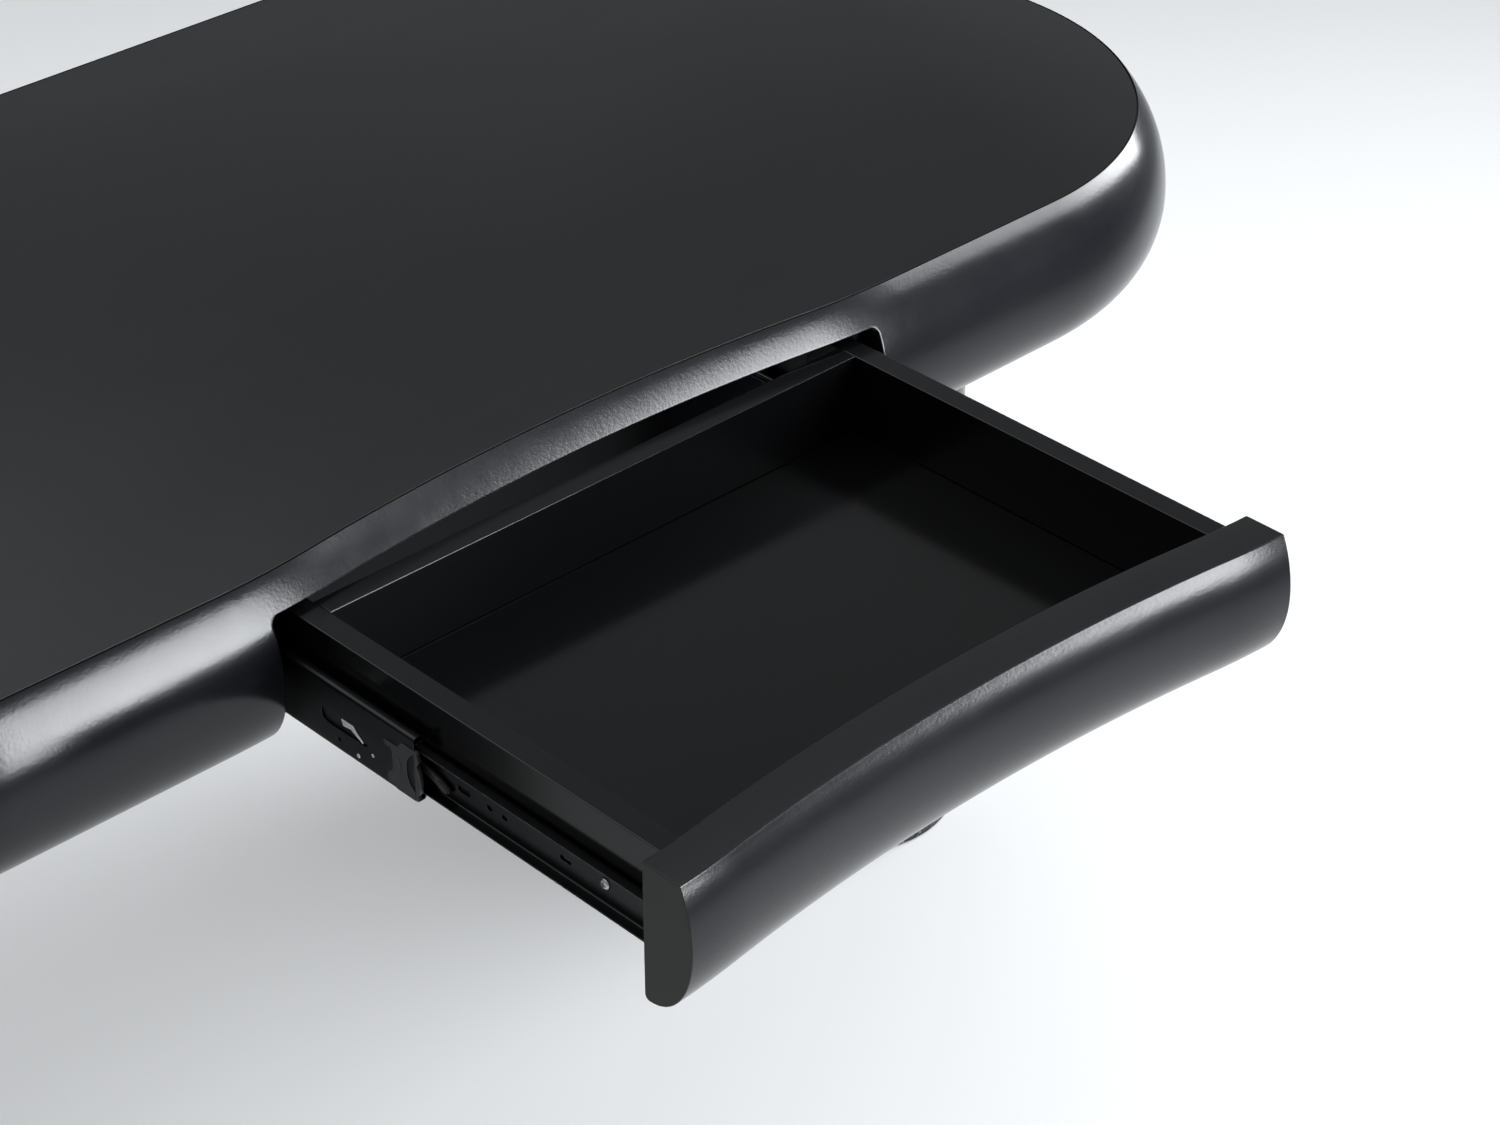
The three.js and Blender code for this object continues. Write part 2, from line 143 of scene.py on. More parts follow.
def add_piece(name, points, faces, body, material, replaces=()):
    """A smooth-shaded mesh from points in desk coordinates, drawer closed."""
    mesh = bpy.data.meshes.new(name)
    mesh.from_pydata([to_frame(p, body) for p in points], [], faces)
    work = bmesh.new()
    work.from_mesh(mesh)
    bmesh.ops.remove_doubles(work, verts=work.verts, dist=2e-6)
    bmesh.ops.recalc_face_normals(work, faces=work.faces)
    work.to_mesh(mesh)
    work.free()
    for polygon in mesh.polygons:
        polygon.use_smooth = True
    piece = bpy.data.objects.new(name, mesh)
    bpy.context.scene.collection.objects.link(piece)
    mesh.materials.append(material)
    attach(piece, body)
    if replaces:
        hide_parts(*replaces)
    return piece


def bevel(piece, width, segments=3, angle=32.0):
    """Rounds the sharp edges of a piece by width millimetres."""
    rounding = piece.modifiers.new("Rounded", "BEVEL")
    rounding.width = width * MM
    rounding.segments = segments
    rounding.limit_method = "ANGLE"
    rounding.angle_limit = math.radians(angle)
    rounding.use_clamp_overlap = False
    rounding.harden_normals = True
    rounding.miter_outer = "MITER_ARC"


def grid_faces(rows, columns, start=0, closed=False):
    """Quads between the points of a grid stored row after row."""
    faces = []
    last = rows if closed else rows - 1
    for i in range(last):
        for j in range(columns - 1):
            a = start + i * columns + j
            b = start + ((i + 1) % rows) * columns + j
            faces.append((a, b, b + 1, a + 1))
    return faces


def mark_sharp(piece, degrees):
    """Keeps the edges of a smooth-shaded piece crisp where its faces turn by more than degrees."""
    mesh = piece.data
    work = bmesh.new()
    work.from_mesh(mesh)
    limit = math.radians(degrees)
    for edge in work.edges:
        edge.smooth = len(edge.link_faces) == 2 and edge.calc_face_angle() < limit
    work.to_mesh(mesh)
    work.free()


class Surface:
    """Collects grids of points into one mesh."""

    def __init__(self):
        self.points = []
        self.faces = []

    def grid(self, rows, closed=False):
        start = len(self.points)
        for row in rows:
            self.points.extend(row)
        self.faces.extend(grid_faces(len(rows), len(rows[0]), start, closed))

    def face(self, loop):
        start = len(self.points)
        self.points.extend(loop)
        self.faces.append(tuple(range(start, start + len(loop))))


def mirror_x(points):
    return [(-x, y, z) for x, y, z in points]


def pair(build):
    """Builds a piece on the right and its mirror image on the left."""
    for side, sign in (("right", 1), ("left", -1)):
        build(side, sign)


def flipped(points, sign):
    return points if sign > 0 else mirror_x(points)


def prism(outline, low, high, lift):
    """A closed prism: outline is a list of 2D points, and lift(u, v, w) gives the 3D point."""
    count = len(outline)
    points = [lift(u, v, low) for u, v in outline] + [lift(u, v, high) for u, v in outline]
    faces = [tuple(range(count)), tuple(range(2 * count - 1, count - 1, -1))]
    faces += [(i, (i + 1) % count, count + (i + 1) % count, count + i) for i in range(count)]
    return points, faces


def upright(outline, z0, z1):
    return prism(outline, z0, z1, lambda x, y, z: (x, y, z))


def arc(cx, cy, radius, start, end, steps):
    """Points of an arc, angles in degrees."""
    angles = [math.radians(start + (end - start) * i / steps) for i in range(steps + 1)]
    return [(cx + radius * math.cos(a), cy + radius * math.sin(a)) for a in angles]


def cut_with(piece, cutters):
    """Cuts meshes, given as (points, faces) in desk coordinates, out of a piece on the same body."""
    body = piece["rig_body"]
    bpy.context.view_layer.update()
    for points, faces in cutters:
        mesh = bpy.data.meshes.new("cutter")
        mesh.from_pydata([to_frame(p, body) for p in points], [], faces)
        work = bmesh.new()
        work.from_mesh(mesh)
        bmesh.ops.recalc_face_normals(work, faces=work.faces)
        work.to_mesh(mesh)
        work.free()
        cutter = bpy.data.objects.new("cutter", mesh)
        bpy.context.scene.collection.objects.link(cutter)
        cut = piece.modifiers.new("Cut", "BOOLEAN")
        cut.operation = "DIFFERENCE"
        cut.solver = "EXACT"
        cut.object = cutter
        bpy.context.view_layer.update()
        with bpy.context.temp_override(object=piece, active_object=piece, selected_objects=[piece]):
            bpy.ops.object.modifier_apply(modifier=cut.name)
        bpy.data.objects.remove(cutter)


# ------------------------------------------------------------------ materials

class Nodes:
    """A small builder for node materials in object coordinates, in metres."""

    def __init__(self, name):
        self.material = bpy.data.materials.new(name)
        self.material.use_nodes = True
        self.tree = self.material.node_tree
        self.shader = self.tree.nodes["Principled BSDF"]
        self.place = self.tree.nodes.new("ShaderNodeTexCoord").outputs["Object"]

    def link(self, source, target):
        self.tree.links.new(source, target)

    def scaled(self, scale):
        mapping = self.tree.nodes.new("ShaderNodeMapping")
        mapping.inputs["Scale"].default_value = scale
        self.link(self.place, mapping.inputs["Vector"])
        return mapping.outputs["Vector"]

    def noise(self, scale, detail=3.0, roughness=0.55, vector=None):
        node = self.tree.nodes.new("ShaderNodeTexNoise")
        node.inputs["Scale"].default_value = scale
        node.inputs["Detail"].default_value = detail
        node.inputs["Roughness"].default_value = roughness
        self.link(vector or self.place, node.inputs["Vector"])
        return node.outputs["Fac"]

    def cells(self, scale):
        node = self.tree.nodes.new("ShaderNodeTexVoronoi")
        node.inputs["Scale"].default_value = scale
        self.link(self.place, node.inputs["Vector"])
        return node.outputs["Distance"]

    def spread(self, value, low, high, to_low, to_high):
        node = self.tree.nodes.new("ShaderNodeMapRange")
        for key, number in (("From Min", low), ("From Max", high), ("To Min", to_low), ("To Max", to_high)):
            node.inputs[key].default_value = number
        self.link(value, node.inputs["Value"])
        return node.outputs["Result"]

    def mix(self, factor, first, second):
        node = self.tree.nodes.new("ShaderNodeMix")
        node.data_type = "RGBA"
        for key, colour in ((6, first), (7, second)):
            if isinstance(colour, tuple):
                node.inputs[key].default_value = (*colour, 1)
            else:
                self.link(colour, node.inputs[key])
        self.link(factor, node.inputs["Factor"])
        return node.outputs[2]

    def maths(self, operation, first, second):
        node = self.tree.nodes.new("ShaderNodeMath")
        node.operation = operation
        for key, value in ((0, first), (1, second)):
            if isinstance(value, (int, float)):
                node.inputs[key].default_value = value
            else:
                self.link(value, node.inputs[key])
        return node.outputs[0]

    def bump(self, layers):
        """layers are (height, strength, distance in metres); each one is laid over the one before."""
        normal = None
        for height, strength, distance in layers:
            node = self.tree.nodes.new("ShaderNodeBump")
            node.inputs["Strength"].default_value = strength
            node.inputs["Distance"].default_value = distance
            self.link(height, node.inputs["Height"])
            if normal is not None:
                self.link(normal, node.inputs["Normal"])
            normal = node.outputs["Normal"]
        self.link(normal, self.shader.inputs["Normal"])

    def edges(self, radius=0.6):
        """1 on edges, 0 beyond radius millimetres from them: where a rounded normal leaves the real one."""
        rounded = self.tree.nodes.new("ShaderNodeBevel")
        rounded.samples = 4
        rounded.inputs["Radius"].default_value = radius * MM
        plain = self.tree.nodes.new("ShaderNodeNewGeometry").outputs["True Normal"]
        across = self.tree.nodes.new("ShaderNodeVectorMath")
        across.operation = "DOT_PRODUCT"
        self.link(rounded.outputs["Normal"], across.inputs[0])
        self.link(plain, across.inputs[1])
        return self.spread(across.outputs["Value"], 0.97, 0.8, 0.0, 1.0)

    def set(self, **values):
        for key, value in values.items():
            self.shader.inputs[key.replace("_", " ")].default_value = value


def lacquer_material():
    """Sprayed and polished black lacquer with a fine orange peel."""
    n = Nodes("black_lacquer")
    n.set(IOR=1.35, Specular_IOR_Level=0.5)
    drift = n.noise(6.0, 4.0)
    n.link(n.mix(n.spread(drift, 0.35, 0.7, 0.0, 1.0), (0.0035, 0.004, 0.0055), (0.0055, 0.0062, 0.008)),
           n.shader.inputs["Base Color"])
    smear = n.noise(38.0, 5.0, 0.65)
    n.link(n.spread(smear, 0.3, 0.7, 0.17, 0.2), n.shader.inputs["Roughness"])
    peel = n.noise(420.0, 2.0, 0.5)
    wave = n.noise(70.0, 1.0, 0.4)
    n.bump([(wave, 1.0, 0.00005), (peel, 1.0, 0.00005)])
    return n.material


def end_grain_material():
    """Painted end of the moulded front, left matt."""
    n = Nodes("painted_end")
    n.set(IOR=1.48, Specular_IOR_Level=0.4)
    drift = n.noise(24.0, 5.0)
    n.link(n.mix(n.spread(drift, 0.35, 0.7, 0.0, 1.0), (0.014, 0.0145, 0.0125), (0.02, 0.0205, 0.018)),
           n.shader.inputs["Base Color"])
    n.link(n.spread(drift, 0.3, 0.7, 0.5, 0.62), n.shader.inputs["Roughness"])
    fibre = n.noise(900.0, 4.0, 0.7)
    n.bump([(fibre, 0.35, 0.0002)])
    return n.material


def surface_material():
    """Charcoal laminate with a fine pebbled texture and the faint cloudiness of wiped melamine."""
    n = Nodes("charcoal_laminate")
    n.set(IOR=1.34, Specular_IOR_Level=0.5)
    cloud = n.noise(3.2, 5.0, 0.6)
    speck = n.noise(1400.0, 2.0, 0.6)
    base = n.mix(n.spread(cloud, 0.3, 0.7, 0.0, 1.0), (0.003, 0.0033, 0.0035), (0.004, 0.0043, 0.0046))
    n.link(n.mix(n.spread(speck, 0.6, 0.75, 0.0, 0.35), base, (0.02, 0.021, 0.022)),
           n.shader.inputs["Base Color"])
    wipe = n.noise(9.0, 6.0, 0.7, n.scaled((1.0, 2.2, 1.0)))
    n.link(n.spread(wipe, 0.3, 0.7, 0.32, 0.36), n.shader.inputs["Roughness"])
    pebble = n.cells(720.0)
    grain = n.noise(2200.0, 2.0)
    n.bump([(pebble, 0.5, 0.00006), (grain, 0.5, 0.00002)])
    return n.material


def board_material(name, index, roughness):
    """Black foil or paint on board, with a faint pressed grain along y, and paler arrises that are partly
    edge wear and partly a painted highlight.
    """
    n = Nodes(name)
    n.set(IOR=index, Specular_IOR_Level=0.5)
    drift = n.noise(5.0, 4.0)
    base = n.mix(n.spread(drift, 0.35, 0.7, 0.0, 1.0), (0.0014, 0.0015, 0.0017), (0.0018, 0.0019, 0.0021))
    # pale_edges lightens the arrises: partly edge wear, partly a painted highlight along them.
    pale_edges = n.maths("MULTIPLY", n.edges(), n.spread(n.noise(45.0, 4.0, 0.7), 0.4, 0.65, 0.25, 1.0))
    n.link(n.mix(pale_edges, base, (0.08, 0.083, 0.086)), n.shader.inputs["Base Color"])
    satin = n.spread(n.noise(240.0, 3.0, 0.6), 0.3, 0.7, roughness, roughness * 1.07)
    n.link(satin, n.shader.inputs["Roughness"])
    grain = n.noise(60.0, 4.0, 0.7, n.scaled((14.0, 1.2, 14.0)))
    stipple = n.noise(1300.0, 2.0)
    n.bump([(grain, 0.3, 0.000006), (stipple, 0.6, 0.000006)])
    return n.material


def metal_material(name, dark, light, roughness, worn, metallic=1.0, streaks=0.25):
    """Rolled sheet metal with streaks along y and brighter, worn edges."""
    n = Nodes(name)
    n.set(Metallic=metallic, IOR=1.5)
    drift = n.noise(60.0, 5.0, 0.65)
    base = n.mix(n.spread(drift, 0.3, 0.7, 0.0, 1.0), dark, light)
    pale_edges = n.maths("MULTIPLY", n.edges(0.4), n.spread(n.noise(160.0, 5.0, 0.7), 0.38, 0.62, 0.0, 1.0))
    n.link(n.mix(pale_edges, base, worn), n.shader.inputs["Base Color"])
    streak = n.noise(180.0, 4.0, 0.7, n.scaled((10.0, 0.6, 10.0)))
    n.link(n.spread(streak, 0.3, 0.7, roughness - 0.02, roughness + 0.03), n.shader.inputs["Roughness"])
    n.bump([(streak, streaks, 0.00003), (n.noise(900.0, 3.0), 0.5, 0.00001)])
    return n.material


def plastic_material():
    """Moulded black plastic with a fine spark-eroded texture and a painted highlight along its edges."""
    n = Nodes("black_plastic")
    n.set(IOR=1.46, Specular_IOR_Level=0.5)
    drift = n.noise(90.0, 4.0)
    base = n.mix(drift, (0.012, 0.012, 0.013), (0.022, 0.022, 0.023))
    # Paler colour on the edges: a painted highlight along the moulded arrises.
    n.link(n.mix(n.edges(0.45), base, (0.11, 0.112, 0.115)), n.shader.inputs["Base Color"])
    n.link(n.spread(drift, 0.3, 0.7, 0.4, 0.52), n.shader.inputs["Roughness"])
    n.bump([(n.cells(1500.0), 0.25, 0.0001)])
    return n.material


def plinth_material():
    """Black paint over shallow hammered cells, with pale specks that are painted glints."""
    n = Nodes("hammered_black")
    n.set(IOR=1.4, Specular_IOR_Level=0.5)
    drift = n.noise(30.0, 4.0)
    speck = n.noise(420.0, 3.0, 0.6)
    base = n.mix(n.spread(drift, 0.3, 0.7, 0.0, 1.0), (0.003, 0.003, 0.0034), (0.006, 0.006, 0.0066))
    # The pale specks are painted glints laid into the colour.
    n.link(n.mix(n.spread(speck, 0.58, 0.66, 0.0, 1.0), base, (0.3, 0.31, 0.32)),
           n.shader.inputs["Base Color"])
    n.link(n.spread(drift, 0.3, 0.7, 0.3, 0.42), n.shader.inputs["Roughness"])
    n.bump([(n.cells(260.0), 0.7, 0.0004), (n.noise(900.0, 2.0), 0.2, 0.00006)])
    return n.material


LACQUER = lacquer_material()
PAINTED_END = end_grain_material()
SURFACE = surface_material()
BOARD = board_material("black_foil_board", 1.39, 0.14)
PANEL = board_material("black_painted_panel", 1.2, 0.45)
BLACK_STEEL = metal_material("black_steel", (0.028, 0.029, 0.03), (0.034, 0.035, 0.036), 0.32,
                             (0.3, 0.3, 0.3))
ZINC = metal_material("zinc_plate", (0.42, 0.43, 0.45), (0.6, 0.61, 0.63), 0.27, (0.78, 0.79, 0.8))
# Near-black cage plating is painted shade, so that what shows through the slots in the middle members stays
# dark.
CAGE_ZINC_PAINTED_DARK = metal_material("dull_zinc_plate", (0.03, 0.031, 0.033), (0.045, 0.046, 0.048), 0.36,
                           (0.4, 0.41, 0.42))
BARE_STEEL = metal_material("bare_steel", (0.7, 0.7, 0.7), (0.82, 0.82, 0.81), 0.22, (0.9, 0.9, 0.9), 0.45)
PLASTIC = plastic_material()
PLINTH = plinth_material()


# ------------------------------------------------------------------ outline and section of the top

def front_y(x, inset):
    """Depth of the front edge at x, moved inwards by inset."""
    x = abs(x)
    if x >= SHOULDER_X:
        return inset
    if x >= (RECESS_R + inset) * math.sin(RECESS_ANGLE):
        return BLEND_R - math.sqrt((BLEND_R - inset) ** 2 - (x - SHOULDER_X) ** 2)
    return RECESS_DEPTH - RECESS_R + math.sqrt((RECESS_R + inset) ** 2 - x ** 2)


def nose_inset(drop, reach=EDGE_THICKNESS):
    """How far the moulding's outside lies behind its foremost line, at a depth below the top."""
    if drop <= NOSE_DROP:
        return UPPER_R - math.sqrt(UPPER_R ** 2 - (NOSE_DROP - drop) ** 2)
    share = min((drop - NOSE_DROP) / LOWER_DROP, 1.0)
    return reach * (1 - math.sqrt(1 - share ** 2))


def lower_drops(steps=14):
    return [NOSE_DROP + LOWER_DROP * math.sin(math.pi / 2 * i / steps) for i in range(1, steps + 1)]


def edge_point(x, drop):
    return (x, front_y(x, nose_inset(drop)), HEIGHT - drop)


def spaced(start, end, steps):
    return [start + (end - start) * i / steps for i in range(steps + 1)]


def corner_point(quarter, angle, inset):
    """Quarter 0 is the front right corner and quarter 1 the rear right one; angle from 0 to 90 degrees."""
    a = math.radians(angle)
    radius = CORNER_R - inset
    if quarter == 0:
        return CORNER_X + radius * math.sin(a), CORNER_R - radius * math.cos(a)
    return CORNER_X + radius * math.cos(a), REAR_CORNER_Y + radius * math.sin(a)


def top_outline(inset):
    """The whole outline of the top, anticlockwise from the left end of the front edge."""
    outline = [(x, front_y(x, inset)) for x in spaced(-CORNER_X, CORNER_X, 96)]
    right = [corner_point(quarter, a, inset) for quarter in (0, 1) for a in spaced(0, 90, QUARTER_STEPS)]
    return outline + right + [(-x, y) for x, y in reversed(right[1:])]


# ------------------------------------------------------------------ moulded edge, one piece all round

ARRIS = 1.0
LIP_DROP = 0.55
CORNER_SQUARE = NOTCH_FILLET + TOP_THICKNESS


def build_edge():
    surface = Surface()
    halves = 8
    grading = [0.0, 0.05, 0.12, 0.22, 0.36, 0.54, 0.76, 1.0]
    fillet_x = NOTCH_HALF - NOTCH_FILLET
    square_x = fillet_x + CORNER_SQUARE
    start_r = NOTCH_FILLET + ARRIS

    upper = [CORNER_SQUARE * j / halves for j in range(halves + 1)]
    lower = spaced(CORNER_SQUARE, NOSE_DROP, 6)[1:] + lower_drops()
    rows = upper + lower

    def first(drop):
        return max(drop, LIP_DROP)

    # Over the notch, down to the rounded arris of the lintel.
    columns = spaced(-fillet_x, fillet_x, 60)
    bottom = TOP_THICKNESS - ARRIS
    surface.grid([[edge_point(x, first(bottom * (1 - t))) for t in grading] for x in columns])

    for sign in (1, -1):
        # Round the notch's corner: rays from the fillet out to a square.
        fan = []
        for j in range(2 * halves + 1):
            a = math.pi / 2 * j / (2 * halves)
            start = (fillet_x + start_r * math.sin(a), CORNER_SQUARE - start_r * math.cos(a))
            if j <= halves:
                end = (fillet_x + CORNER_SQUARE * j / halves, 0.0)
            else:
                end = (square_x, CORNER_SQUARE * (j - halves) / halves)
            ray = [(start[0] + (end[0] - start[0]) * t, start[1] + (end[1] - start[1]) * t) for t in grading]
            fan.append([edge_point(sign * x, first(drop)) for x, drop in ray])
        surface.grid(fan)
        # Beside the notch, down to the underside.
        beside = [NOTCH_HALF + ARRIS + (square_x - NOTCH_HALF - ARRIS) * t for t in grading]
        surface.grid([[edge_point(sign * x, drop) for drop in [CORNER_SQUARE] + lower] for x in beside])

    # The rest of the ring, from the right of the notch round the back to its left.
    def column_at(x_of, drops):
        return [x_of(first(drop)) for drop in drops]

    ring = [column_at(lambda d, x=x: edge_point(x, d), rows)
            for x in [square_x, SHOULDER_X] + spaced(SHOULDER_X, CORNER_X, 8)[1:]]
    for quarter in (0, 1):
        for a in spaced(0, 90, QUARTER_STEPS):
            ring.append([(*corner_point(quarter, a, nose_inset(first(d))), HEIGHT - first(d)) for d in rows])
    ring += [mirror_x(column) for column in reversed(ring)]
    surface.grid(ring)

    # The rounded arris of the notch and its cut faces, which run straight back.
    outline = [(NOTCH_HALF, drop, 1.0, 0.0) for drop in reversed([CORNER_SQUARE] + lower)]
    for j in range(2 * halves - 1, -1, -1):
        a = math.pi / 2 * j / (2 * halves)
        sin, cos = math.sin(a), math.cos(a)
        outline.append((fillet_x + NOTCH_FILLET * sin, CORNER_SQUARE - NOTCH_FILLET * cos, sin, -cos))
    outline += [(x, TOP_THICKNESS, 0.0, -1.0) for x in reversed(columns[30:-1])]
    outline += [(-x, drop, -nx, nd) for x, drop, nx, nd in reversed(outline[:-1])]
    strip = []
    for x, drop, nx, nd in outline:
        row = []
        for i in range(5):
            a = math.pi / 2 * i / 4
            aside = ARRIS * (1 - math.sin(a))
            px, pd = x + nx * aside, drop + nd * aside
            ex, ey, ez = edge_point(px, min(pd, EDGE_BOTTOM_DROP))
            row.append((ex, ey + ARRIS * (1 - math.cos(a)), ez))
        reach = EDGE_THICKNESS if drop > CORNER_SQUARE - 0.01 else TOP_INSET
        row.append((x, max(front_y(x, reach), row[-1][1] + 0.01), HEIGHT - drop))
        strip.append(row)
    surface.grid(strip)

    # The lip beside the flat panel and the rebate under it, on the same columns as the outside.
    lip = [(nose_inset(LIP_DROP), LIP_DROP), (TOP_INSET - 0.12, 0.2), (TOP_INSET, 0.35),
           (TOP_INSET, 1.2), (TOP_INSET, TOP_THICKNESS)]
    skirt = [(TOP_INSET, TOP_THICKNESS), (EDGE_THICKNESS, TOP_THICKNESS), (EDGE_THICKNESS, EDGE_BOTTOM_DROP)]

    def ring_of(section, first_columns):
        """A section carried from the first columns beside the notch, round the back, to the other side."""
        half = [[(x, front_y(x, i), HEIGHT - d) for i, d in section]
                for x in first_columns + [SHOULDER_X] + spaced(SHOULDER_X, CORNER_X, 8)[1:]]
        for quarter in (0, 1):
            for angle in spaced(0, 90, QUARTER_STEPS):
                half.append([(*corner_point(quarter, angle, i), HEIGHT - d) for i, d in section])
        return half + [mirror_x(column) for column in reversed(half)]

    shared = [fillet_x + CORNER_SQUARE * j / halves for j in range(1, halves + 1)]
    over = [[(x, front_y(x, i), HEIGHT - d) for i, d in lip] for x in columns[:-1]]
    surface.grid(ring_of(lip, [fillet_x] + shared) + over[1:], closed=True)
    surface.grid(ring_of(skirt, [NOTCH_HALF] + beside))

    names = ["edge_lintel", "edge_rear"]
    for stem in ("edge_front", "edge_front_corner", "edge_rear_corner", "edge_end"):
        names += [f"{stem}_left", f"{stem}_right"]
    edge = add_piece("moulded_edge", surface.points, surface.faces, "desk", LACQUER, names)
    mark_sharp(edge, 35.0)


def build_top_panel():
    groove, depth = 1.5, 1.6
    bottom = HEIGHT - TOP_THICKNESS + BOARD_GAP
    section = [(BOARD_GAP, bottom), (BOARD_GAP, HEIGHT - depth), (groove, HEIGHT - depth),
               (groove, HEIGHT - 0.35), (groove + 0.1, HEIGHT - 0.1), (groove + 0.4, HEIGHT)]
    loops = [[(x, y, z) for x, y in top_outline(TOP_INSET + inset)] for inset, z in section]
    surface = Surface()
    surface.grid([list(column) for column in zip(*loops)], closed=True)
    surface.face(loops[0])
    surface.face(loops[-1])
    panel = add_piece("flat_top", surface.points, surface.faces, "desk", SURFACE,
                      ["top_panel"])
    mark_sharp(panel, 30.0)


# ------------------------------------------------------------------ drawer

def front_section():
    """Section of the drawer front as (drop, inset), with its two upper arrises rounded."""
    reach = FRONT_THICKNESS - FRONT_BACK_R
    start = FRONT_TOP_DROP + 1.3
    section = [(FRONT_TOP_DROP, nose_inset(start) + 2.0), (FRONT_TOP_DROP + 0.12, nose_inset(start) + 0.95),
               (FRONT_TOP_DROP + 0.55, nose_inset(start) + 0.25)]
    section += [(drop, nose_inset(drop)) for drop in spaced(start, NOSE_DROP, 12)]
    section += [(drop, nose_inset(drop, reach)) for drop in lower_drops(16)]
    bottom = EDGE_BOTTOM_DROP - FRONT_BACK_R
    section += arc(bottom, reach, FRONT_BACK_R, 0, 90, 6)[1:]
    section += [(FRONT_TOP_DROP + 1.0, FRONT_THICKNESS), (FRONT_TOP_DROP + 0.3, FRONT_THICKNESS - 0.3),
                (FRONT_TOP_DROP, FRONT_THICKNESS - 1.0)]
    return section


def build_drawer_front():
    section = front_section()
    columns = spaced(-FRONT_HALF, FRONT_HALF, 72)
    surface = Surface()
    rings = [[(x, front_y(x, inset), HEIGHT - drop) for drop, inset in section] for x in columns]
    surface.grid([ring + ring[:1] for ring in rings])
    surface.face(rings[0])
    surface.face(rings[-1])
    front = add_piece("drawer_front_shell", surface.points, surface.faces, "drawer", LACQUER,
                      ["drawer_front"])
    front.data.materials.append(PAINTED_END)
    front.data.materials.append(SURFACE)
    for polygon in front.data.polygons:
        if abs(polygon.normal.x) > 0.99:
            polygon.material_index = 1
        elif polygon.normal.z > 0.99:
            polygon.material_index = 2
    bevel(front, 0.9, 3, 60)


def build_drawer_box():
    groove_low = FLOOR_TOP - FLOOR_THICKNESS - BOARD_GAP
    groove_high = FLOOR_TOP + BOARD_GAP
    groove_depth = 6.0
    inner = SIDE_OUTER - SIDE_THICKNESS
    rear = BACK_Y + DRAWER_BACK_THICKNESS

    def side(name, sign):
        outline = [(inner, SIDE_BOTTOM), (SIDE_OUTER, SIDE_BOTTOM), (SIDE_OUTER, SIDE_TOP), (inner, SIDE_TOP),
                   (inner, groove_high), (inner + groove_depth, groove_high),
                   (inner + groove_depth, groove_low), (inner, groove_low)]
        points, faces = prism(outline, 0, 1, lambda x, z, end: (
            x, SIDE_END_Y if end else front_y(x, FRONT_THICKNESS) + BOARD_GAP, z))
        board = add_piece(f"drawer_side_board_{name}", flipped(points, sign), faces, "drawer", BOARD,
                          [f"drawer_side_{name}"])
        bevel(board, 0.7, 3)

    pair(side)
    half = inner + groove_depth - BOARD_GAP
    outline = [(-x, front_y(x, FRONT_THICKNESS) + BOARD_GAP) for x in spaced(half, -half, 40)]
    outline += [(half, rear - BOARD_GAP), (-half, rear - BOARD_GAP)]
    points, faces = upright(outline, FLOOR_TOP - FLOOR_THICKNESS, FLOOR_TOP)
    floor = add_piece("drawer_floor_board", points, faces, "drawer", BOARD, ["drawer_bottom"])
    bevel(floor, 0.4, 2, 60)
    back_half = inner - BOARD_GAP
    outline = [(-back_half, BACK_Y), (back_half, BACK_Y), (back_half, rear), (-back_half, rear)]
    points, faces = upright(outline, groove_high, SIDE_TOP)
    back = add_piece("drawer_back_board", points, faces, "drawer", BOARD, ["drawer_back"])
    bevel(back, 0.7, 3)


# ------------------------------------------------------------------ ball slides

def bent_sheet(line, thickness, radius, steps=5):
    """Outline of a sheet that is bent along a line, both given as (depth, height)."""
    middle = []
    for i, corner in enumerate(line):
        here = Vector(corner)
        if i in (0, len(line) - 1):
            middle.append(here)
            continue
        before, after = Vector(line[i - 1]) - here, Vector(line[i + 1]) - here
        reach = min(radius, before.length * 0.49, after.length * 0.49)
        start, end = here + before.normalized() * reach, here + after.normalized() * reach
        for k in range(steps + 1):
            t = k / steps
            middle.append(start * (1 - t) ** 2 + here * 2 * t * (1 - t) + end * t ** 2)
    sides = []
    for sign in (-1, 1):
        offset = []
        for i, point in enumerate(middle):
            along = (middle[min(i + 1, len(middle) - 1)] - middle[max(i - 1, 0)]).normalized()
            offset.append(point + Vector((-along.y, along.x)) * sign * thickness / 2)
        sides.append([tuple(p) for p in offset])
    return sides[0] + sides[1][::-1]


def channel(web, lip, half, radius=2.4):
    """A slide member that opens towards lip; half is half its outside height."""
    z = half - SHEET / 2
    return bent_sheet([(lip, z), (web, z), (web, -z), (lip, -z)], SHEET, radius)


def slide_lift(depth, height, y):
    return (SIDE_OUTER + depth, y, SLIDE_Z + height)


def hole(depth, y, height, radius, steps=20, stretch=0.0):
    """A cutter through a web: a round hole, or a slot stretched along y."""
    turns = [math.radians(-90 + 180 * i / (steps // 2)) for i in range(steps // 2 + 1)]
    outline = [(y + side * (stretch / 2 + radius * math.cos(a)), height + side * radius * math.sin(a))
               for side in (1, -1) for a in turns]
    return prism(outline, depth - 3.0, depth + 3.0, lambda u, v, d: slide_lift(d, v, u))


def disc(y, height, radius, steps=28):
    return arc(y, height, radius, 0, 360, steps)[:-1]


def slide_plate(name, outline, low, high, body, material, rounding, sign, replaces=()):
    """A flat piece parallel to the webs; its outline is given as (y, height)."""
    points, faces = prism(outline, low, high, lambda y, height, depth: slide_lift(depth, height, y))
    piece = add_piece(name, flipped(points, sign), faces, body, material, replaces)
    bevel(piece, rounding, 3, 40)


